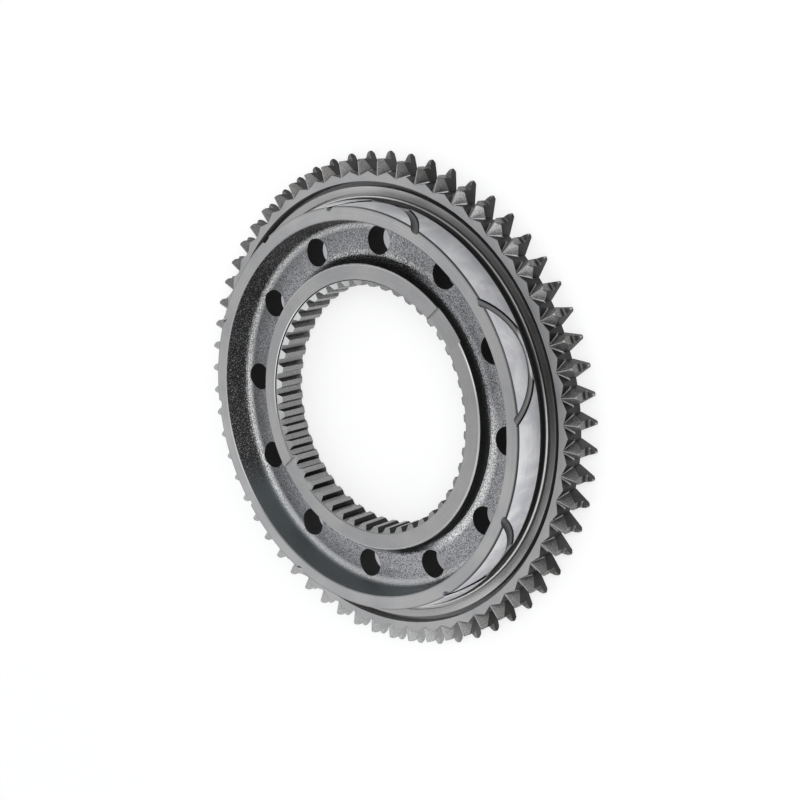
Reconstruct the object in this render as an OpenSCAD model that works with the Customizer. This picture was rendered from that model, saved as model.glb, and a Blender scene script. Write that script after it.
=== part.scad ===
// Synchronizer gear of a heavy gearbox: a steel ring with dog teeth outside,
// a friction cone in front, a drilled web and a splined hub, all one piece.
// The ring lies on its flat back, and its axis is Z.

/* [Flange] */
// Thickness of the toothed flange
flange_t = 8.9; // [7.5:0.1:10]
// Bevel around the back edge of the flange
back_bevel = 0.5; // [0.2:0.1:1]

/* [Dog teeth] */
// Number of dog teeth
tooth_count = 60; // [48:1:68]
// Diameter over the tall back part of the teeth
tooth_tip_d = 197; // [195:0.1:200]
// Depth of the gaps between the teeth, below the tall part
tooth_depth = 7.45; // [6:0.05:8.5]
// Drop of the low front part below the tall part
front_drop = 2.8; // [2:0.1:4]
// Slope of each flank away from the middle plane of its tooth
flank_angle = 22; // [20:0.5:25]
// Radius along the crest of a tooth
crest_round = 0.45; // [0.3:0.05:0.6]
// Length of the tall back part, measured from the back
tall_len = 2.8; // [2:0.1:4]
// Radius at the front corner of the tall part
shoulder_round = 1.4; // [0.8:0.1:1.6]
// Radius of the relief groove in the corner under the tall part
shoulder_fillet = 0.6; // [0.5:0.05:0.9]
// Depth of that relief groove below the low front part
shoulder_dip = 0.3; // [0.1:0.05:0.4]
// Slope of the two facets that point a tooth, from the flange face
point_angle = 56; // [50:1:60]
// Width of the blunt ridge at the front of a tooth
ridge_w = 0.35; // [0.2:0.05:0.6]
// Radius at the outer end of the ridge
ridge_round = 1; // [0.5:0.1:1.5]
// Length of the ridges beyond the gaps, where they run out into the flange face
ridge_run = 1.85; // [1:0.05:2.5]
// Radius of the rounded ledge in the corner between a facet and the flange
ledge_r = 0.35; // [0.2:0.05:0.5]
// Bevel along the back edge of the crests
crest_bevel = 1.1; // [0.5:0.1:1.5]

/* [Face grooves] */
// Width of the flange face between the ridges and the deep groove
land_w = 1.9; // [1:0.1:3]
// Width of the deep groove
deep_groove_w = 2; // [1.4:0.1:2.4]
// Depth of the deep groove
deep_groove_depth = 4.4; // [3:0.1:5]
// Drop of the outer edge of the collar below the flange face
collar_drop = 1.1; // [0.8:0.1:2]
// Width of the collar
collar_w = 2.6; // [2:0.1:3]
// Slope of the collar face, down towards the axis
collar_slope = 15; // [5:1:25]
// Width of the fine groove between the collar and the bead
fine_groove_w = 0.9; // [0.6:0.1:1.2]
// Depth of the fine groove below the inner edge of the collar
fine_groove_depth = 1; // [0.5:0.1:1.5]
// Width of the rounded bead at the foot of the cone
bead_w = 1.1; // [0.8:0.1:1.4]
// Drop of the top of the bead below the flange face
bead_drop = 0.95; // [0.8:0.05:1.5]

/* [Friction cone] */
// Height of the rim above the flange face
rim_h = 12.2; // [10:0.1:15]
// Gap between the bead and the foot of the cone
cone_gap = 0.18; // [0.1:0.02:0.6]
// Slope of the cone from the axis
cone_angle = 10; // [8:0.5:10.5]
// Height of the foot of the cone above the flange face
cone_foot_h = 1.6; // [1:0.1:2.5]
// Depth of the grinding relief under the foot of the cone
relief_depth = 1.2; // [0.6:0.1:1.4]
// Width of the rim at its face
rim_w = 5.25; // [4:0.05:7]
// Bevel on the turned edges of rim and hub
edge_bevel = 0.35; // [0.2:0.05:0.6]

/* [Oil grooves] */
// Number of curved oil grooves in the cone
oil_groove_count = 6; // [3:1:7]
// Angle between the two ends of an oil groove at the rim
oil_groove_span = 32; // [26:1:36]
// Radius of the round bottom of an oil groove
oil_groove_r = 1.6; // [1.2:0.1:1.8]
// Height of the lowest point of an oil groove above the flange face
oil_groove_low_h = 1.55; // [1.5:0.05:3]
// Angle of the first oil groove
oil_groove_phase = 3; // [-30:1:30]

/* [Web] */
// Thickness of the web at its flat
web_t = 9; // [7.5:0.05:10]
// Draft of the forged walls beside the web
draft_angle = 5; // [2:1:7]
// Fillet where the web meets the rim
rim_fillet = 3.6; // [2:0.1:4.5]
// Fillet where the web meets the hub
hub_fillet = 3.2; // [2:0.1:4]
// Number of holes in the web
hole_count = 12; // [6:1:15]
// Clearance between a hole and the walls beside the web, measured at their tops
hole_clear = 2.875; // [2:0.025:5]
// Distance of the circle of holes outwards from the middle of the web
hole_out = 0.42; // [0:0.02:1]
// Angle of the first hole
hole_phase = 7.9; // [0:0.1:30]

/* [Hub] */
// Height of the hub above the flange face
hub_h = 5.6; // [4:0.1:8]
// Wall of the hub at its face, outside the mouth of the bore
hub_wall = 6.25; // [5:0.05:8]
// Width of the slot across the hub face
slot_w = 15.5; // [10:0.1:20]
// Depth of the slot
slot_depth = 1.05; // [0.5:0.05:2]

/* [Spline] */
// Number of spline teeth in the bore
spline_count = 48; // [36:1:50]
// Diameter inside the spline teeth
spline_tip_d = 96; // [94:0.1:97]
// Depth of the spline spaces
spline_depth = 2; // [1.5:0.1:2.5]
// Width of the top of a spline tooth
spline_top_w = 2.2; // [1.8:0.1:2.4]
// Slope of each spline flank
spline_flank_angle = 29; // [25:1:32]
// Width of the shallow step at the mouth of the bore, beyond the spline spaces
bore_step_w = 0.2; // [0.1:0.05:1]
// Depth of that step below the hub face
bore_step_depth = 0.4; // [0.2:0.1:1]
// Height of the bevel on both ends of the spline teeth
spline_bevel_h = 1.2; // [0.8:0.1:2]

/* [Hidden] */

// Radii of the teeth, from the tips inwards
tip_r = tooth_tip_d / 2;
front_r = tip_r - front_drop;
root_r = tip_r - tooth_depth;
ridge_foot_r = root_r - ridge_run;

// Heights above the back
rim_z = flange_t + rim_h;
cone_foot_z = flange_t + cone_foot_h;
hub_z = flange_t + hub_h;
collar_z = flange_t - collar_drop;
collar_foot_z = collar_z - collar_w * tan(collar_slope);

// Face grooves, from the teeth inwards
deep_ro = ridge_foot_r - land_w;
deep_ri = deep_ro - deep_groove_w;
collar_ri = deep_ri - collar_w;
bead_ro = collar_ri - fine_groove_w;
bead_ri = bead_ro - bead_w;
bead_r = bead_w / 2;
bead_z = flange_t - bead_drop - bead_r;
fine_groove_z = collar_foot_z - fine_groove_depth;

// Cone and rim, inside the bead
cone_foot_r = bead_ri - cone_gap;
relief_r = cone_foot_r - relief_depth;
cone_front_r = cone_foot_r - (rim_z - cone_foot_z) * tan(cone_angle);
rim_bore_r = cone_front_r - rim_w;

// Spline and hub, from the bore outwards
spline_tip_r = spline_tip_d / 2;
spline_root_r = spline_tip_r + spline_depth;
bore_step_r = spline_root_r + bore_step_w;
hub_r = bore_step_r + hub_wall;

// The web takes up what is left between rim and hub
web_w = rim_bore_r - hub_r - (rim_z + hub_z - 2 * web_t) * tan(draft_angle);
rim_fillet_r = min(rim_fillet, 0.45 * web_w);
hub_fillet_r = min(hub_fillet, 0.45 * web_w);
hole_d = rim_bore_r - hub_r - 2 * hole_clear;
hole_circle_r = (rim_bore_r + hub_r) / 2 + hole_out;

// Dog tooth: the flanks would meet at apex_r if the crest were sharp
apex_r = tip_r - crest_round + crest_round / sin(flank_angle);
tooth_half_w = (apex_r - root_r) * tan(flank_angle);
tooth_pitch = 360 / tooth_count;
gap_peak = [root_r * cos(tooth_pitch / 2), root_r * sin(tooth_pitch / 2)];
// Where flank, facet and root circle meet
corner_r = sqrt(root_r * root_r - tooth_half_w * tooth_half_w);
corner_depth = (tooth_half_w - ridge_w / 2) * tan(point_angle);
wall_r_at_corner = ridge_foot_r + (gap_peak[0] - ridge_foot_r) * tooth_half_w / gap_peak[1];
notch_tilt = atan((corner_r - wall_r_at_corner) / corner_depth);
// How far a tooth reaches into the flange below the notches
tooth_embed = 1.2;

// Spare length that lets cutting shapes run out of the metal
over = 1;
bore_blank_r = spline_tip_r - 2 * over;

// Points on an arc, from one angle to another
function arc(cx, cy, r, a0, a1, n) =
    [for (i = [0 : n]) let (a = a0 + (a1 - a0) * i / n) [cx + r * cos(a), cy + r * sin(a)]];

// Section of the turned and forged body, radius along x and height along y
rim_wall_r = rim_bore_r - (rim_z - web_t - rim_fillet_r) * tan(draft_angle);
hub_wall_r = hub_r + (hub_z - web_t - hub_fillet_r) * tan(draft_angle);
body_section = concat(
    [[bore_blank_r, 0], [root_r - back_bevel, 0], [root_r, back_bevel]],
    [[root_r, flange_t], [deep_ro, flange_t]],
    [[deep_ro, flange_t - deep_groove_depth], [deep_ri, flange_t - deep_groove_depth]],
    [[deep_ri, collar_z], [collar_ri, collar_foot_z], [collar_ri, fine_groove_z]],
    [[bead_ro, fine_groove_z]],
    arc(bead_ro - bead_r, bead_z, bead_r, 0, 180, 6),
    [[bead_ri, fine_groove_z], [relief_r, fine_groove_z]],
    [[relief_r, cone_foot_z - relief_depth], [cone_foot_r, cone_foot_z]],
    [[cone_front_r + edge_bevel * tan(cone_angle), rim_z - edge_bevel]],
    [[cone_front_r - edge_bevel, rim_z], [rim_bore_r + edge_bevel, rim_z]],
    [[rim_bore_r - edge_bevel * tan(draft_angle), rim_z - edge_bevel]],
    arc(rim_wall_r - rim_fillet_r, web_t + rim_fillet_r, rim_fillet_r, -draft_angle, -90, 7),
    arc(hub_wall_r + hub_fillet_r, web_t + hub_fillet_r, hub_fillet_r, -90, -180 + draft_angle, 7),
    [[hub_r + edge_bevel * tan(draft_angle), hub_z - edge_bevel]],
    [[hub_r - edge_bevel, hub_z], [bore_blank_r, hub_z]]
);

module turned_body() {
    color("silver")
        rotate_extrude($fn = 180)
            polygon(body_section);
}

// Outline of one dog tooth seen along the axis, with a rounded crest
module tooth_outline() {
    crest = arc(tip_r - crest_round, 0, crest_round, -90 + flank_angle, 90 - flank_angle, 4);
    polygon(concat(
        [[ridge_foot_r - tooth_embed, tooth_half_w], [ridge_foot_r - tooth_embed, -tooth_half_w]],
        [[root_r, -tooth_half_w]],
        crest,
        [[root_r, tooth_half_w]]
    ));
}

// Side view of one dog tooth: low front part, relief groove, shoulder and crest
module tooth_side() {
    groove_r = front_r + shoulder_fillet - shoulder_dip;
    groove_end_a = 180 - acos(1 - shoulder_dip / shoulder_fillet);
    polygon(concat(
        [[ridge_foot_r - tooth_embed - over, 0], [tip_r - crest_bevel, 0], [tip_r, crest_bevel]],
        arc(tip_r - shoulder_round, tall_len - shoulder_round, shoulder_round, 0, 90, 4),
        arc(groove_r, tall_len + shoulder_fillet, shoulder_fillet, 270, groove_end_a, 5),
        arc(front_r - ridge_round, flange_t - ridge_round, ridge_round, 0, 90, 3),
        [[ridge_foot_r - tooth_embed - over, flange_t]]
    ));
}

// View of one dog tooth from outside: two facets that meet in a blunt ridge
module tooth_point() {
    half = tooth_half_w + over;
    facet_z = flange_t - (half - ridge_w / 2) * tan(point_angle);
    polygon([
        [-half, -over], [half, -over], [half, facet_z],
        [ridge_w / 2, flange_t], [-ridge_w / 2, flange_t], [-half, facet_z]
    ]);
}

module dog_tooth() {
    intersection() {
        linear_extrude(flange_t)
            tooth_outline();
        translate([0, tooth_half_w + over, 0])
            rotate([90, 0, 0])
                linear_extrude(2 * (tooth_half_w + over))
                    tooth_side();
        rotate([90, 0, 90])
            linear_extrude(tip_r + over)
                tooth_point();
    }
}

module dog_teeth() {
    color("dimgray")
        for (i = [0 : tooth_count - 1])
            rotate([0, 0, (i + 0.5) * tooth_pitch])
                dog_tooth();
}

// The pointing cutter also bites a shallow V into the flange in front of each tooth
module pointing_notch() {
    reach = 2;
    slope = (gap_peak[0] - ridge_foot_r) / gap_peak[1];
    translate([ridge_foot_r, 0, flange_t])
        rotate([0, -notch_tilt, 0])
            translate([0, 0, -flange_t])
                linear_extrude(flange_t + over)
                    polygon([
                        [0, 0],
                        [slope * gap_peak[1] * reach, gap_peak[1] * reach],
                        [slope * gap_peak[1] * reach + over, 0],
                        [slope * gap_peak[1] * reach, -gap_peak[1] * reach]
                    ]);
}

module pointing_notches() {
    for (i = [0 : tooth_count - 1])
        rotate([0, 0, (i + 0.5) * tooth_pitch])
            pointing_notch();
}

// The cutter leaves a thin rounded ledge where each facet meets the wall of its notch
ledge_run = [corner_r - ridge_foot_r, tooth_half_w - ridge_w / 2];
ledge_turn = atan(ledge_run[1] / ledge_run[0]);
ledge_fall = atan(corner_depth / norm(ledge_run));
ledge_len = norm([ledge_run[0], ledge_run[1], corner_depth]) - 3 * ledge_r;

module ledges() {
    color("dimgray")
        for (i = [0 : tooth_count - 1])
            rotate([0, 0, (i + 0.5) * tooth_pitch])
                for (side = [-1, 1])
                    translate([ridge_foot_r, side * ridge_w / 2, flange_t])
                        rotate([0, 90 + ledge_fall, side * ledge_turn])
                            translate([-ledge_r / 2, 0, 1.5 * ledge_r])
                                cylinder(h = ledge_len, r = ledge_r, $fn = 16);
}

// Outline of the splined bore, with a tooth on the X axis
module spline_outline() {
    pitch = 360 / spline_count;
    top_a = asin(spline_top_w / 2 / spline_tip_r);
    foot_w = spline_top_w + 2 * spline_depth * tan(spline_flank_angle);
    foot_a = asin(foot_w / 2 / spline_root_r);
    polygon([
        for (i = [0 : spline_count - 1])
            let (tip_a = i * pitch, root_a = tip_a + pitch / 2, gap_a = pitch / 2 - foot_a)
                for (p = [
                    [spline_tip_r, tip_a - top_a], [spline_tip_r, tip_a + top_a],
                    [spline_root_r, root_a - gap_a], [spline_root_r, root_a + gap_a]
                ])
                    [p[0] * cos(p[1]), p[0] * sin(p[1])]
    ]);
}

// Turned at both mouths: a step in the hub face, and bevels on the ends of the teeth
module bore_mouths() {
    step_z = hub_z - bore_step_depth;
    small_r = spline_tip_r - over;
    rise = spline_bevel_h / (bore_step_r - spline_tip_r);
    bevel_h = (bore_step_r - small_r) * rise;
    rotate_extrude($fn = 120)
        polygon([
            [0, -over], [bore_step_r + over / rise, -over], [small_r, bevel_h],
            [small_r, step_z - bevel_h], [bore_step_r, step_z], [bore_step_r, hub_z + over],
            [0, hub_z + over]
        ]);
}

module splined_bore() {
    translate([0, 0, -over])
        linear_extrude(hub_z + 2 * over)
            spline_outline();
    bore_mouths();
}

module web_holes() {
    for (i = [0 : hole_count - 1])
        rotate([0, 0, hole_phase + i * 360 / hole_count])
            translate([hole_circle_r, 0, -over])
                cylinder(h = rim_z, d = hole_d, $fn = 48);
}

// The slot lies midway between two holes
module hub_slot() {
    rotate([0, 0, hole_phase + 180 / hole_count])
        translate([-hub_wall_r - over, -slot_w / 2, hub_z - slot_depth])
            cube([2 * (hub_wall_r + over), slot_w, slot_depth + over]);
}

// Each oil groove is cut by a ring that leans inwards, so that it follows the cone
low_z = flange_t + oil_groove_low_h;
low_r = cone_front_r + (rim_z - low_z) * tan(cone_angle);
lean_run = low_r - cone_front_r * cos(oil_groove_span / 2);
lean_rise = rim_z - low_z;
ring_lean = atan(lean_run / lean_rise);
half_chord = cone_front_r * sin(oil_groove_span / 2);
ring_height = sqrt(lean_run * lean_run + lean_rise * lean_rise);
ring_r = (half_chord * half_chord + ring_height * ring_height) / (2 * ring_height);

module oil_grooves() {
    for (i = [0 : oil_groove_count - 1])
        rotate([0, 0, oil_groove_phase + i * 360 / oil_groove_count])
            translate([low_r, 0, low_z])
                rotate([0, -ring_lean, 0])
                    translate([0, 0, ring_r])
                        rotate([0, 90, 0])
                            rotate_extrude($fn = 120)
                                translate([ring_r, 0])
                                    circle(r = oil_groove_r, $fn = 24);
}

module synchronizer_gear() {
    difference() {
        union() {
            difference() {
                turned_body();
                pointing_notches();
            }
            dog_teeth();
            ledges();
        }
        splined_bore();
        web_holes();
        hub_slot();
        oil_grooves();
    }
}

synchronizer_gear();
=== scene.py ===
"""Looks of the synchronizer gear: finishes with painted light and shade of its one steel piece, camera, lights and
floor with a painted shadow.
"""

import math
from types import SimpleNamespace

import bpy
from mathutils import Matrix, Vector

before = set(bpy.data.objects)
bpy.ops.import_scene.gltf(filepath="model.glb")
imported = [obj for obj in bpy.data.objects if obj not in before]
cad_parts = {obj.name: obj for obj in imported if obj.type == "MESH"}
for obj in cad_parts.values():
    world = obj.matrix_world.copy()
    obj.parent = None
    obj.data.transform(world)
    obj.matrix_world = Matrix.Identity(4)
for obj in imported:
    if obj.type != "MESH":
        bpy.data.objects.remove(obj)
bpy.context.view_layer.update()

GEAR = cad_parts["synchronizer_gear"]

# ---------------------------------------------------------------- sizes, mm
MM = 1000.0
FLANGE_Z = 8.9
WEB_Z = 9.0
HUB_Z = 14.5
RIM_Z = 21.1
SPLINE_ROOT_R = 50.0
MOUTH_R = 50.25
HUB_R = 56.45
HOLES_R = (58.6, 72.0)
RIM_BORE_R = 73.4
CONE_FRONT_R = 78.65
CONE_SLOPE = math.tan(math.radians(10))
CONE_FOOT_Z = 10.5
RELIEF_R = (79.0, 80.75)
BEAD_R = (80.72, 81.78)
FINE_GROOVE_R = (81.75, 82.68)
COLLAR_R = (82.7, 85.32)
DEEP_GROOVE_R = (85.2, 87.32)
RIDGE_FOOT_R = 89.2
TOOTH_ROOT_R = 94.9
TOOTH_LAND_R = 96.2
TOOTH_STEP_Z = 2.8
TOOTH_PITCH = math.radians(6)
# A ledge runs down beside each ridge, in the frame of its tooth
LEDGE_START = (89.27, 0.295, 9.01)
LEDGE_ALONG = (0.304, 0.533, -0.790)
LEDGE_REACH = 0.42


class Graph:
    """Short calls for the nodes of one material."""

    def __init__(self, name):
        self.material = bpy.data.materials.new(name)
        self.material.use_nodes = True
        self.tree = self.material.node_tree
        self.tree.nodes.clear()

    def node(self, kind, **settings):
        made = self.tree.nodes.new(kind)
        for key, value in settings.items():
            setattr(made, key, value)
        return made

    def put(self, socket, value):
        if isinstance(value, bpy.types.NodeSocket):
            self.tree.links.new(value, socket)
        elif value is not None:
            socket.default_value = value

    def math(self, operation, a, b=None):
        made = self.node("ShaderNodeMath", operation=operation)
        for socket, value in zip(made.inputs, (a, b)):
            self.put(socket, value)
        return made.outputs[0]

    def add(self, a, b):
        return self.math("ADD", a, b)

    def sub(self, a, b):
        return self.math("SUBTRACT", a, b)

    def mul(self, a, b):
        return self.math("MULTIPLY", a, b)

    def most(self, a, b):
        return self.math("MAXIMUM", a, b)

    def size_of(self, a):
        return self.math("ABSOLUTE", a)

    def ramp(self, value, low, high, to_low=0.0, to_high=1.0):
        made = self.node("ShaderNodeMapRange", interpolation_type="SMOOTHSTEP")
        for key, number in zip((1, 2, 3, 4), (low, high, to_low, to_high)):
            self.put(made.inputs[key], number)
        self.put(made.inputs[0], value)
        return made.outputs[0]

    def above(self, value, edge, soft=0.02):
        return self.ramp(value, edge - soft, edge + soft)

    def below(self, value, edge, soft=0.02):
        return self.ramp(value, edge - soft, edge + soft, 1.0, 0.0)

    def within(self, value, low, high, soft=0.02):
        return self.mul(self.above(value, low, soft), self.below(value, high, soft))

    def all_of(self, *masks):
        total = masks[0]
        for mask in masks[1:]:
            total = self.mul(total, mask)
        return total

    def invert(self, mask):
        return self.sub(1.0, mask)

    def mix(self, factor, a, b):
        made = self.node("ShaderNodeMix", data_type="RGBA")
        self.put(made.inputs[0], factor)
        self.put(made.inputs[6], a)
        self.put(made.inputs[7], b)
        return made.outputs[2]

    def blend(self, factor, a, b):
        made = self.node("ShaderNodeMix", data_type="FLOAT")
        self.put(made.inputs[0], factor)
        self.put(made.inputs[2], a)
        self.put(made.inputs[3], b)
        return made.outputs[0]

    def scale_color(self, color, amount):
        made = self.node("ShaderNodeVectorMath", operation="SCALE")
        self.put(made.inputs[0], color)
        self.put(made.inputs["Scale"], amount)
        return made.outputs[0]

    def vector(self, x, y, z):
        made = self.node("ShaderNodeCombineXYZ")
        for socket, value in zip(made.inputs, (x, y, z)):
            self.put(socket, value)
        return made.outputs[0]

    def split(self, vector):
        made = self.node("ShaderNodeSeparateXYZ")
        self.put(made.inputs[0], vector)
        return made.outputs

    def length(self, vector):
        made = self.node("ShaderNodeVectorMath", operation="LENGTH")
        self.put(made.inputs[0], vector)
        return made.outputs["Value"]

    def noise(self, vector, scale, detail, roughness, distortion=0.0):
        made = self.node("ShaderNodeTexNoise")
        self.put(made.inputs["Vector"], vector)
        self.put(made.inputs["Scale"], scale)
        self.put(made.inputs["Detail"], detail)
        self.put(made.inputs["Roughness"], roughness)
        self.put(made.inputs["Distortion"], distortion)
        return made.outputs[0]

    def bump(self, height, distance, strength, below_this=None):
        made = self.node("ShaderNodeBump")
        self.put(made.inputs["Strength"], strength)
        self.put(made.inputs["Distance"], distance)
        self.put(made.inputs["Height"], height)
        self.put(made.inputs["Normal"], below_this)
        return made.outputs[0]

    def surface(self, shader):
        out = self.node("ShaderNodeOutputMaterial")
        self.put(out.inputs["Surface"], shader)


def grey(value, red=0.0, blue=0.0):
    return (value + red, value, value + blue, 1.0)


# ---------------------------------------------------------------- the steel
def locate(g):
    """Place on the gear in mm, turn about its axis in radians, and the way its surface faces."""
    at = SimpleNamespace()
    at.coords = g.node("ShaderNodeTexCoord").outputs["Object"]
    at.x, at.y, at.z = (g.mul(along, MM) for along in g.split(at.coords))
    at.r = g.math("SQRT", g.add(g.mul(at.x, at.x), g.mul(at.y, at.y)))
    at.turn = g.math("ARCTAN2", at.y, at.x)
    at.aside = g.size_of(at.turn)

    facing = g.node("ShaderNodeVectorTransform", vector_type="NORMAL", convert_from="WORLD", convert_to="OBJECT")
    g.put(facing.inputs[0], g.node("ShaderNodeNewGeometry").outputs["True Normal"])
    normal_x, normal_y, at.up = g.split(facing.outputs[0])
    at.upright = g.below(g.size_of(at.up), 0.3, 0.12)
    at.radial = g.math("DIVIDE", g.add(g.mul(normal_x, at.x), g.mul(normal_y, at.y)), at.r)
    return at


def sectors(g, at):
    """Parts of the turn where the colour is painted darker or paler, as painted shade and painted light that turn
    with the gear.
    """
    side = SimpleNamespace()
    side.away = g.ramp(at.aside, 0.1, 1.1)
    side.facing = g.ramp(at.aside, 0.5, 1.0, 1.0, 0.0)
    # The glare sectors, where painted light washes the colours out, mostly paler
    side.hazy = g.within(at.turn, -2.75, -1.5, 0.18)
    side.hazy_wall = g.within(at.turn, -2.95, -1.5, 0.15)
    side.hazy_teeth = g.most(side.hazy, g.ramp(at.aside, 2.35, 2.8))
    side.upper = g.within(at.turn, 1.4, 2.95, 0.3)
    side.top = g.within(at.turn, 0.5, 1.7, 0.25)
    side.upper_left = g.within(at.turn, 1.8, 2.9, 0.3)
    side.lower_right = g.within(at.turn, -1.3, -0.25, 0.2)
    # The sectors where the hub's wall and foot get painted shade
    side.dim = g.most(g.within(at.turn, 0.75, 1.75, 0.2), g.within(at.turn, -1.75, -1.4, 0.12))
    return side


def recess_masks(g, at, side, t, m):
    """The forged recess between hub and rim, its walls, its fillets and its holes, with places for painted shade and
    painted highlights.
    """
    r, z = at.r, at.z
    # Borders in the recess are as rough as its skin
    fuzz = g.sub(t.speckle, 0.5)
    rough_r = g.add(r, g.mul(fuzz, 4.0))
    rough_up = g.add(at.up, g.mul(fuzz, 0.5))
    m.front = g.above(z, 0.05)
    m.recess = g.all_of(g.within(r, HUB_R - 0.02, RIM_BORE_R + 0.01), g.below(z, RIM_Z - 0.37), m.front)
    m.hole = g.all_of(g.within(r, *HOLES_R), g.below(z, WEB_Z - 0.02), m.front, at.upright)
    m.rim_wall = g.all_of(m.recess, g.above(r, 69.5), g.below(rough_up, 0.62, 0.2))
    m.rim_fillet = g.all_of(m.recess, g.within(r, 69.6, 72.6, 0.5), g.within(rough_up, 0.5, 0.97, 0.1))
    m.hub_wall = g.all_of(m.recess, g.below(rough_r, 59.0, 0.6), g.below(rough_up, 0.72, 0.15))
    m.hub_dark = g.all_of(m.recess, g.below(rough_r, 59.5, 0.5), g.below(rough_up, 0.84, 0.08), side.lower_right)
    m.hub_dim = g.all_of(m.recess, g.below(rough_r, 59.6, 0.5), side.dim)
    m.hub_top = g.all_of(m.recess, g.within(r, 59.8, 61.4, 0.7), g.within(at.turn, 0.6, 1.7, 0.25))
    m.hub_fillet = g.all_of(m.recess, g.below(r, 61.0, 1.2), g.above(at.up, 0.86, 0.05), side.lower_right)


def cone_masks(g, at, m):
    """The ground cone and its oil grooves, told apart by their distance from the true cone."""
    r, z = at.r, at.z
    gap = g.sub(g.sub(r, CONE_FRONT_R), g.mul(g.sub(RIM_Z, z), CONE_SLOPE))
    beside = g.all_of(g.within(z, 8.0, RIM_Z - 0.4), g.within(r, 74.5, 82.0))
    m.cone = g.all_of(beside, g.above(gap, -0.13), g.above(z, CONE_FOOT_Z - 0.02))
    m.oil_groove = g.all_of(beside, g.below(gap, -0.16, 0.03), g.above(z, CONE_FOOT_Z - 1.0))
    m.oil_edge = g.all_of(m.oil_groove, g.above(gap, -0.75, 0.14))
    m.rim_edge = g.all_of(g.within(z, RIM_Z - 0.7, RIM_Z - 0.02, 0.08), g.within(r, 78.0, 79.5))


def face_masks(g, at, m):
    """The turned faces: edges with painted highlights and shade, and the rings between cone and teeth."""
    r, z = at.r, at.z
    near_hub_face = g.all_of(g.above(z, HUB_Z - 0.5), g.below(z, HUB_Z + 0.5))
    m.hub_edge = g.mul(g.within(r, HUB_R - 0.5, HUB_R + 0.1, 0.08), near_hub_face)
    m.hub_far_edge = g.mul(m.hub_edge, g.ramp(at.aside, 2.1, 2.5))
    rim_bore_edge = g.all_of(g.within(r, RIM_BORE_R - 0.12, RIM_BORE_R + 0.3, 0.05), g.above(z, RIM_Z - 0.5))
    m.rim_bore_edge = g.mul(rim_bore_edge, g.ramp(at.aside, 1.6, 2.2))
    m.relief_cut = g.all_of(g.within(r, *RELIEF_R), g.below(z, CONE_FOOT_Z - 0.05), m.front)
    m.bead = g.all_of(g.within(r, *BEAD_R), g.above(z, 7.1, 0.3))
    m.fine_groove = g.all_of(g.within(r, *FINE_GROOVE_R), g.below(z, 6.95, 0.25), m.front)
    m.collar = g.within(r, *COLLAR_R)
    m.deep_groove = g.all_of(g.within(r, *DEEP_GROOVE_R), g.below(z, FLANGE_Z - 0.05), m.front)


def bore_masks(g, at, side, m):
    """The splined bore with painted highlights on its tooth ends and painted shade on its flanks, the step with
    painted shade and the line with a painted highlight at its mouth, and the slot's walls with a painted highlight.
    """
    r, z = at.r, at.z
    m.mouth_line = g.all_of(
        g.within(r, MOUTH_R + 0.2, MOUTH_R + 0.65, 0.05),
        g.within(z, HUB_Z - 0.1, HUB_Z + 0.5),
        g.within(at.turn, 2.0, 2.95, 0.15),
    )
    m.mouth_step = g.all_of(
        g.within(r, MOUTH_R - 0.35, MOUTH_R + 0.2, 0.04),
        g.within(z, HUB_Z - 0.45, HUB_Z + 0.5),
        g.within(at.turn, 0.95, 2.95, 0.2),
    )
    m.slot_wall = g.all_of(g.within(r, MOUTH_R + 0.05, HUB_R), g.within(z, HUB_Z - 1.0, HUB_Z - 0.03), at.upright)
    m.spline = g.all_of(g.below(r, SPLINE_ROOT_R + 0.15), g.below(z, HUB_Z - 0.05))
    bevel = g.all_of(g.within(z, HUB_Z - 1.6, HUB_Z - 0.42, 0.05), g.within(at.up, 0.45, 0.95, 0.05))
    m.spline_bevel = g.all_of(m.spline, bevel, side.upper)
    m.spline_flank = g.all_of(m.spline, at.upright, g.below(g.size_of(at.radial), 0.75, 0.08))


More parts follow.
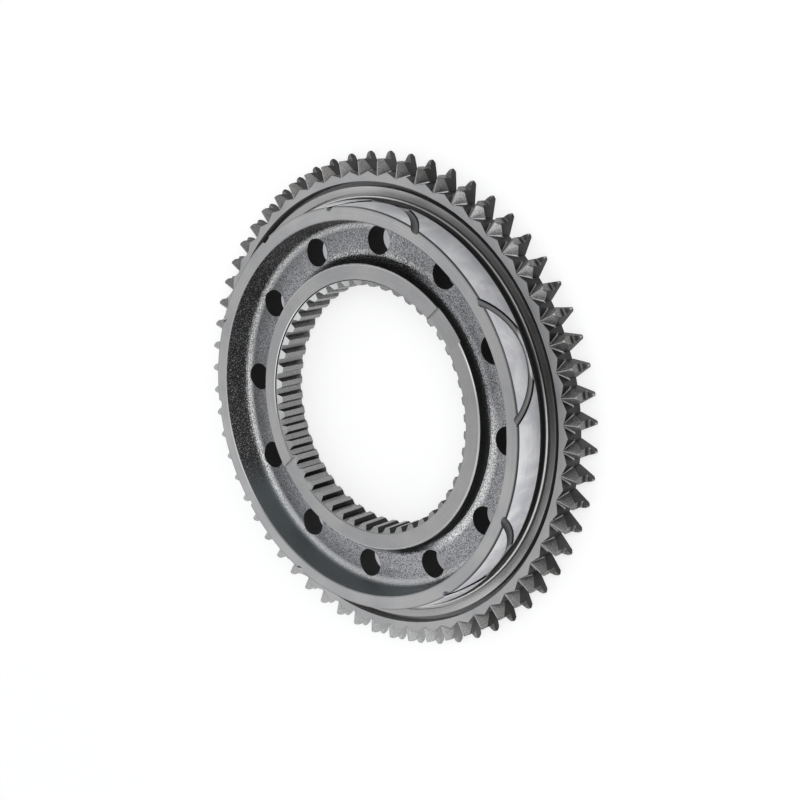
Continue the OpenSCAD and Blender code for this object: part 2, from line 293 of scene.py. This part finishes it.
def tooth_masks(g, at, side, m):
    """The dog teeth: facets, flanks, the low front part, and the ledges beside each ridge, with places for painted
    light and shade on them.
    """
    r, z, turn = at.r, at.z, at.turn
    m.teeth = g.all_of(g.above(r, RIDGE_FOOT_R - 0.1), g.below(z, FLANGE_Z - 0.02), m.front)
    outward = g.all_of(g.above(at.radial, 0.75, 0.1), g.above(r, TOOTH_ROOT_R - 0.4, 0.1))
    m.flank = g.all_of(m.teeth, at.upright, g.invert(outward))
    m.land = g.all_of(outward, g.below(r, TOOTH_LAND_R, 0.1), g.above(z, TOOTH_STEP_Z + 0.9, 0.15))
    m.low_shadow = g.all_of(
        g.within(r, TOOTH_ROOT_R, TOOTH_ROOT_R + 1.02, 0.06), g.within(z, TOOTH_STEP_Z + 0.05, 5.0, 0.3), side.facing
    )
    m.step_line = g.all_of(
        g.within(r, TOOTH_LAND_R - 0.22, TOOTH_LAND_R + 0.22, 0.06),
        g.within(z, TOOTH_STEP_Z - 0.2, TOOTH_STEP_Z + 0.2),
        side.facing,
        g.below(turn, -0.15, 0.15),
    )
    m.shoulder = g.all_of(g.within(r, 96.5, 98.1, 0.1), g.within(z, 1.8, TOOTH_STEP_Z + 0.1, 0.2), side.facing)

    # Turn within the nearest tooth, and the place in its frame, whose ledges are alike on both sides
    inner = g.mul(g.sub(g.math("FRACT", g.math("DIVIDE", turn, TOOTH_PITCH)), 0.5), TOOTH_PITCH)
    from_ledge = g.vector(
        g.sub(g.mul(r, g.math("COSINE", inner)), LEDGE_START[0]),
        g.sub(g.size_of(g.mul(r, g.math("SINE", inner))), LEDGE_START[1]),
        g.sub(z, LEDGE_START[2]),
    )
    across = g.node("ShaderNodeVectorMath", operation="CROSS_PRODUCT")
    g.put(across.inputs[0], from_ledge)
    g.put(across.inputs[1], LEDGE_ALONG)
    near_ledge = g.below(g.length(across.outputs[0]), LEDGE_REACH, 0.04)
    m.ledge = g.all_of(near_ledge, m.teeth, g.above(z, 4.4, 0.3))
    # Painted highlight on the ledges, full on the lower side of each tooth, half on the upper side, and dimmer aside
    # from turn zero
    lower_side = g.blend(g.above(inner, 0.0, 0.004), 1.0, 0.5)
    m.ledge_light = g.mul(lower_side, g.ramp(at.aside, 0.9, 1.5, 1.0, 0.65))
    facet = g.all_of(m.teeth, g.within(at.up, 0.4, 0.75, 0.05), g.below(r, 95.0, 0.3))
    m.glint = g.all_of(facet, g.within(turn, 0.17, 0.8, 0.12), g.below(inner, 0.0, 0.003))


def textures(g, at):
    """Cloudy stain, two fine speckles, turning lines, grinding lines and a soft mottle."""
    t = SimpleNamespace()
    t.cloud = g.noise(at.coords, 45.0, 3.0, 0.55)
    t.grain = g.noise(at.coords, 2600.0, 2.0, 0.6)
    t.speckle = g.noise(at.coords, 2300.0, 3.0, 0.65)
    rings = g.vector(g.mul(at.r, 2.6), g.mul(at.turn, 1.2), g.mul(at.z, 0.4))
    t.lines = g.noise(rings, 1.0, 3.0, 0.7)
    t.ground = g.noise(g.vector(g.mul(at.turn, 1.6), g.mul(at.z, 3.2), 0.0), 1.0, 3.0, 0.75)
    t.mottle = g.noise(at.coords, 95.0, 3.0, 0.6, 0.6)
    return t


def base_tones(g, at, side, t):
    """The colours of the large areas, with painted light and shade that follow the turn."""
    tone = SimpleNamespace()

    turned = g.mix(g.ramp(t.cloud, 0.35, 0.65), grey(0.30, 0.0, 0.005), grey(0.345, 0.003, 0.0))
    for amount in (
        g.ramp(t.lines, 0.3, 0.7, 0.92, 1.05),
        g.ramp(t.grain, 0.3, 0.7, 0.93, 1.05),
        # Painted shade: the turned faces darker towards turn zero, and in the upper left sector beyond 73 mm from
        # the axis
        g.ramp(at.aside, 0.1, 0.7, 0.86, 1.0),
        g.blend(g.mul(side.upper_left, g.above(at.r, 73.0)), 1.0, 0.86),
        g.blend(g.below(at.r, 58.0, 0.5), 1.0, 0.85),
    ):
        turned = g.scale_color(turned, amount)
    tone.turned = turned

    forged = g.mix(g.ramp(t.speckle, 0.41, 0.59), grey(0.14, 0.0, 0.006), grey(0.41, -0.002, 0.018))
    forged = g.scale_color(forged, g.ramp(t.cloud, 0.3, 0.7, 0.85, 1.15))
    # Painted light: the forged skin paler in the glare sector
    tone.forged = g.scale_color(forged, g.blend(side.hazy, 1.0, 1.25))
    # Dark with bright speckles for the rim's steep wall, partly forge scale and partly painted shade; painted light
    # makes it paler in the glare wall sector
    scale = g.mix(g.ramp(t.speckle, 0.565, 0.65), grey(0.07, 0.001, 0.0), grey(0.95, 0.004, 0.0))
    tone.scale = g.mix(side.hazy_wall, scale, grey(0.2, -0.02, 0.004))

    cone = g.mix(g.ramp(t.mottle, 0.36, 0.64), grey(0.78, 0.0, 0.045), grey(0.96, 0.0, 0.01))
    for amount in (
        # Painted shade: the cone darker towards turn zero and in the sector from 0.25 to 1.3
        g.ramp(at.aside, 0.0, 0.5, 0.74, 1.0),
        g.blend(g.within(at.turn, 0.25, 1.3, 0.2), 1.0, 0.72),
        g.ramp(t.ground, 0.3, 0.7, 0.9, 1.03),
    ):
        cone = g.scale_color(cone, amount)
    tone.cone = cone

    milled = g.mix(g.ramp(t.cloud, 0.35, 0.65), grey(0.26, 0.008, -0.006), grey(0.35, 0.003, -0.003))
    # Painted shade: the milled steel darker away from turn zero
    milled = g.scale_color(milled, g.blend(side.away, 1.0, 0.55))
    milled = g.scale_color(milled, g.ramp(t.speckle, 0.34, 0.64, 0.62, 1.32))
    # Painted light: a paler copy of the milled steel, laid on the teeth in the glare sector
    tone.pale = g.mix(g.ramp(t.speckle, 0.34, 0.64), grey(0.37), grey(0.62))
    tone.milled = g.mix(g.mul(side.hazy_teeth, 0.8), milled, tone.pale)
    # Painted shade: the near-black colour of the tooth flanks
    dark = g.mix(g.ramp(t.cloud, 0.35, 0.65), grey(0.036, 0.001, -0.001), grey(0.07, 0.002, 0.0))
    tone.dark = g.scale_color(dark, g.ramp(t.speckle, 0.34, 0.64, 0.7, 1.3))
    return tone


def layered_color(g, at, side, m, t):
    """The finishes and the painted light and shade laid over each other, from the large areas to the small edges."""
    tone = base_tones(g, at, side, t)
    # Painted light and shade: the collar dark towards turn zero, light aside, darker again on the far side and in
    # the sector from 0.3 to 0.8
    collar = g.scale_color(
        g.mix(g.ramp(at.aside, 0.1, 0.9), grey(0.18, 0.01, -0.003), grey(0.64, 0.012, -0.004)),
        g.mul(g.ramp(at.aside, 1.0, 1.6, 1.0, 0.47), g.blend(g.within(at.turn, 0.3, 0.8, 0.2), 1.0, 0.72)),
    )
    # Painted highlight: the bead bright away from turn zero, dark near it and dimmer in the sector from -0.1 to 1.1
    bead = g.scale_color(
        g.mix(g.ramp(at.aside, 0.0, 0.4), grey(0.22, 0.004, -0.006), grey(0.66, 0.004, -0.01)),
        g.blend(g.within(at.turn, -0.1, 1.1, 0.15), 1.0, 0.42),
    )
    # Painted highlight: bright speckles on the rim's fillet
    rim_fillet = g.mix(g.ramp(t.speckle, 0.42, 0.56), grey(0.24), grey(0.76))
    # Painted shade: the bore's tooth flanks near black, with speckles in the upper sector
    dark_flank = g.mix(g.mul(side.upper, g.ramp(t.speckle, 0.3, 0.6)), grey(0.036), grey(0.17))
    color = tone.turned
    for mask, over in (
        (m.recess, tone.forged),
        # Painted light: the rim's fillet paler in the glare sector
        (m.rim_fillet, g.mix(g.mul(side.hazy, 0.75), rim_fillet, grey(0.5, 0.0, 0.01))),
        # The rim's wall: forge scale and painted shade
        (m.rim_wall, tone.scale),
        # Painted shade: the hub's outer wall near black with faint speckles
        (m.hub_wall, g.mix(g.ramp(t.speckle, 0.55, 0.72), grey(0.036), grey(0.15))),
        # Painted shade: the hub's wall and the foot of its fillet black in the lower right sector
        (m.hub_dark, grey(0.035)),
        # Painted highlight: a bright speckled band beside the hub in the top sector
        (m.hub_top, g.mix(g.ramp(t.speckle, 0.44, 0.6), grey(0.16), grey(0.72))),
        # Painted highlight: a bright speckled band on the hub's fillet in the lower right sector
        (m.hub_fillet, g.mix(g.ramp(t.speckle, 0.42, 0.56), grey(0.34), grey(1.0))),
        # Painted shade: the hub's wall and foot near black in the dim sectors
        (m.hub_dim, g.mix(g.ramp(t.speckle, 0.5, 0.68), grey(0.014), grey(0.13))),
        # Painted shade: the holes' walls near black, a little lighter in the glare sector
        (m.hole, g.mix(side.hazy, grey(0.045), grey(0.07))),
        (m.cone, tone.cone),
        # Painted shade: the oil grooves dark, and near black where they are less than 0.75 mm deep
        (m.oil_groove, grey(0.15, 0.0, 0.005)),
        (m.oil_edge, grey(0.015)),
        (m.rim_edge, g.mix(g.within(at.aside, 1.2, 2.0, 0.3), grey(0.06), grey(0.2))),
        # Painted highlight: a bright line along the hub face's outer edge, dimmer in the sector from -0.35 to 0.9
        (m.hub_edge, g.mix(g.within(at.turn, -0.35, 0.9, 0.25), grey(0.58), grey(0.34))),
        # Painted highlight: a light line along the rim's inner edge on the far side, dimmer in the glare sector
        (m.rim_bore_edge, g.mix(side.hazy, grey(0.4), grey(0.2))),
        # Painted shade: that line dark on the far side
        (m.hub_far_edge, grey(0.13)),
        # Painted highlight: a bright line at the bore's mouth in the sector from 2.0 to 2.95
        (m.mouth_line, grey(0.62)),
        # Painted highlight: the slot's walls near white
        (m.slot_wall, grey(0.9)),
        (m.collar, collar),
        (m.bead, bead),
        # Painted light: the fine groove and the relief cut paler in the glare sector, the deep groove a little
        # darker there
        (m.fine_groove, g.mix(side.hazy, grey(0.27, 0.012, -0.006), grey(0.5))),
        (m.relief_cut, g.mix(side.hazy, grey(0.3), grey(0.6))),
        (m.deep_groove, g.mix(side.hazy, grey(0.40), grey(0.38))),
        (m.teeth, tone.milled),
        # Painted shade: the lands darker towards turn zero
        (m.land, g.scale_color(tone.milled, g.blend(side.away, 0.72, 1.0))),
        # Painted shade on the tooth flanks, and painted light with the paler copy in the glare sector
        (m.flank, g.mix(side.hazy_teeth, tone.dark, g.scale_color(tone.pale, 0.8))),
        (m.low_shadow, grey(0.05)),
        # Painted shade: the tooth shoulders near black on the side towards turn zero
        (m.shoulder, grey(0.06)),
        # Painted highlight: a light line along the tooth step on the side towards turn zero
        (m.step_line, grey(0.6)),
        (m.glint, g.mix(g.ramp(t.speckle, 0.3, 0.6), grey(0.5), grey(0.95))),
        # Painted highlight: the ledges light, brighter further from the flange face
        (m.ledge, g.scale_color(g.mix(g.ramp(at.z, 5.4, 8.2), grey(0.6), grey(0.38)), m.ledge_light)),
        (m.spline, g.mix(g.ramp(t.speckle, 0.34, 0.64), grey(0.21), grey(0.35))),
        # Painted shade on the bore's tooth flanks, lighter and speckled in the top sector
        (m.spline_flank, g.mix(side.top, dark_flank, g.mix(g.ramp(t.speckle, 0.34, 0.64), grey(0.14), grey(0.4)))),
        # Painted highlight: the bevelled tooth ends of the bore light in the upper sector
        (m.spline_bevel, grey(0.62)),
        # Painted shade: a black line on the step at the bore's mouth
        (m.mouth_step, grey(0.02)),
    ):
        color = g.mix(mask, color, over)

    # Painted shade in the corners, lighter in the glare sector, but not in the fine groove or on the slot's walls
    crevice = g.node("ShaderNodeAmbientOcclusion", samples=4, only_local=True)
    crevice.inputs["Distance"].default_value = 0.0035
    shade = g.ramp(crevice.outputs["AO"], 0.25, 0.8, g.blend(side.hazy, 0.38, 0.85), 1.0)
    return g.scale_color(color, g.blend(g.most(m.fine_groove, m.slot_wall), shade, 1.0))


def layered_roughness(g, m, t):
    rough = g.ramp(t.lines, 0.2, 0.8, 0.36, 0.46)
    for mask, value in (
        (m.recess, g.ramp(t.speckle, 0.3, 0.7, 0.62, 0.45)),
        (m.hole, 0.7),
        (m.cone, g.ramp(t.ground, 0.25, 0.75, 0.45, 0.55)),
        (m.oil_groove, 0.5),
        (m.deep_groove, 0.6),
        (m.teeth, g.ramp(t.speckle, 0.3, 0.7, 0.42, 0.55)),
        (m.spline, 0.42),
    ):
        rough = g.blend(mask, rough, value)
    return rough


def steel():
    """One steel whose finish follows the place on the gear: forged, turned, ground or milled, with painted light and
    shade in its colour.
    """
    g = Graph("steel")
    at = locate(g)
    side = sectors(g, at)
    t = textures(g, at)
    m = SimpleNamespace()
    recess_masks(g, at, side, t, m)
    cone_masks(g, at, m)
    face_masks(g, at, m)
    bore_masks(g, at, side, m)
    tooth_masks(g, at, side, m)

    blasted = g.mul(g.add(t.speckle, g.mul(t.grain, 0.4)), m.recess)
    relief = g.bump(blasted, 0.0003, 0.6)
    relief = g.bump(g.mul(t.lines, g.invert(m.recess)), 0.00004, 0.2, relief)

    shader = g.node("ShaderNodeBsdfPrincipled")
    g.put(shader.inputs["Metallic"], g.blend(m.cone, 1.0, 0.7))
    g.put(shader.inputs["Base Color"], layered_color(g, at, side, m, t))
    g.put(shader.inputs["Roughness"], layered_roughness(g, m, t))
    g.put(shader.inputs["Normal"], relief)
    g.surface(shader.outputs[0])
    return g.material


GEAR.data.materials.clear()
GEAR.data.materials.append(steel())

# ---------------------------------------------------------------- floor
FLOOR_REACH = 3.0
FLOOR_DROP = 0.0002
UNDER_WEB_R = (0.0575, 0.0735)


def pale_floor():
    """White to the camera and in the metal, with a faint shadow and a painted shadow under the web ring; it lights
    nothing itself.
    """
    g = Graph("pale_floor")
    path = g.node("ShaderNodeLightPath").outputs
    seen = g.most(g.most(path["Is Camera Ray"], path["Is Glossy Ray"]), path["Is Transmission Ray"])
    spot = g.node("ShaderNodeTexCoord").outputs["Object"]
    # Painted shadow: the floor under the web ring glows less and bluer, least on the side towards turn zero
    under_web = g.within(g.length(spot), *UNDER_WEB_R, 0.0005)
    x, y, _ = g.split(spot)
    near = g.within(g.math("ARCTAN2", y, x), -1.6, 0.95, 0.15)
    plain = g.node("ShaderNodeBsdfDiffuse")
    g.put(plain.inputs["Color"], g.mix(seen, grey(0.9), grey(0.5)))
    glow = g.node("ShaderNodeEmission")
    g.put(glow.inputs["Color"], g.mix(under_web, grey(1.0), grey(0.97, 0.0, 0.08)))
    g.put(glow.inputs["Strength"], g.mul(seen, g.blend(under_web, 0.65, g.blend(near, 0.33, 0.2))))
    both = g.node("ShaderNodeAddShader")
    g.put(both.inputs[0], plain.outputs[0])
    g.put(both.inputs[1], glow.outputs[0])
    g.surface(both.outputs[0])
    return g.material


corners = [(x * FLOOR_REACH, y * FLOOR_REACH, -FLOOR_DROP) for x, y in ((-1, -1), (1, -1), (1, 1), (-1, 1))]
floor_mesh = bpy.data.meshes.new("floor")
floor_mesh.from_pydata(corners, [], [(0, 1, 2, 3)])
floor_mesh.materials.append(pale_floor())
floor = bpy.data.objects.new("floor", floor_mesh)
bpy.context.scene.collection.objects.link(floor)

# ---------------------------------------------------------------- camera
# The photograph's view, found by fitting the rings and teeth: tilt, roll about the axis, distance
# in units of the deep groove's radius, focal length and centre in pixels of an 800-pixel picture
GROOVE_UNIT = 0.0873
TILT = math.radians(44.14)
ROLL = math.radians(255.27)
DISTANCE = 6.015 * GROOVE_UNIT
FOCAL = 1339.1
CENTRE = (374.5, 406.3)
PICTURE = 800
SENSOR = 36

target = Vector((0, 0, FLANGE_Z / MM))
back = Vector((math.sin(TILT), 0, math.cos(TILT)))
side = Vector((0, 1, 0))
over = side.cross(-back)
image_x = math.cos(ROLL) * side + math.sin(ROLL) * over
image_y = -math.sin(ROLL) * side + math.cos(ROLL) * over
# The target lies beside the middle of the picture, so the camera turns to bring it there
middle = PICTURE / 2
aim = Vector(((CENTRE[0] - middle) / FOCAL, -(CENTRE[1] - middle) / FOCAL, 1)).normalized()
turned = Vector((0, 0, 1)).rotation_difference(aim).to_matrix() @ Matrix((image_x, image_y, -back))
pose = Matrix((turned[0], turned[1], -turned[2])).transposed().to_4x4()
pose.translation = target + DISTANCE * back

camera_data = bpy.data.cameras.new("camera")
camera_data.sensor_fit = "HORIZONTAL"
camera_data.sensor_width = SENSOR
camera_data.lens = FOCAL / PICTURE * SENSOR
camera_data.clip_start = 0.01
camera_data.clip_end = 20
camera = bpy.data.objects.new("camera", camera_data)
bpy.context.scene.collection.objects.link(camera)
camera.matrix_world = pose
bpy.context.scene.camera = camera

# ---------------------------------------------------------------- light
SKY_LIGHT = 0.57


def studio():
    """A sky that shows white to the camera and in the metal, and lights the gear more softly."""
    world = bpy.data.worlds.new("studio")
    world.use_nodes = True
    nodes, links = world.node_tree.nodes, world.node_tree.links
    background = nodes["Background"]
    background.inputs["Color"].default_value = (0.98, 0.99, 1.0, 1)
    path = nodes.new("ShaderNodeLightPath").outputs
    seen = path["Is Camera Ray"]
    for ray in ("Is Glossy Ray", "Is Transmission Ray"):
        either = nodes.new("ShaderNodeMath")
        either.operation = "MAXIMUM"
        links.new(seen, either.inputs[0])
        links.new(path[ray], either.inputs[1])
        seen = either.outputs[0]
    level = nodes.new("ShaderNodeMapRange")
    level.inputs["To Min"].default_value = SKY_LIGHT
    level.inputs["To Max"].default_value = 1.0
    links.new(seen, level.inputs["Value"])
    links.new(level.outputs[0], background.inputs["Strength"])
    return world


def softbox(name, place, size, power):
    """A round lamp that faces the gear."""
    data = bpy.data.lights.new(name, "AREA")
    data.shape = "DISK"
    data.size = size
    data.energy = power
    lamp = bpy.data.objects.new(name, data)
    bpy.context.scene.collection.objects.link(lamp)
    lamp.location = place
    lamp.rotation_euler = (-Vector(place)).to_track_quat("-Z", "Y").to_euler()


bpy.context.scene.world = studio()
softbox("key", (0.75, 0.15, 0.6), 0.5, 2.4)
softbox("top", (-0.95, 0.0, 0.7), 0.9, 1.0)
bpy.context.scene.view_settings.view_transform = "Standard"
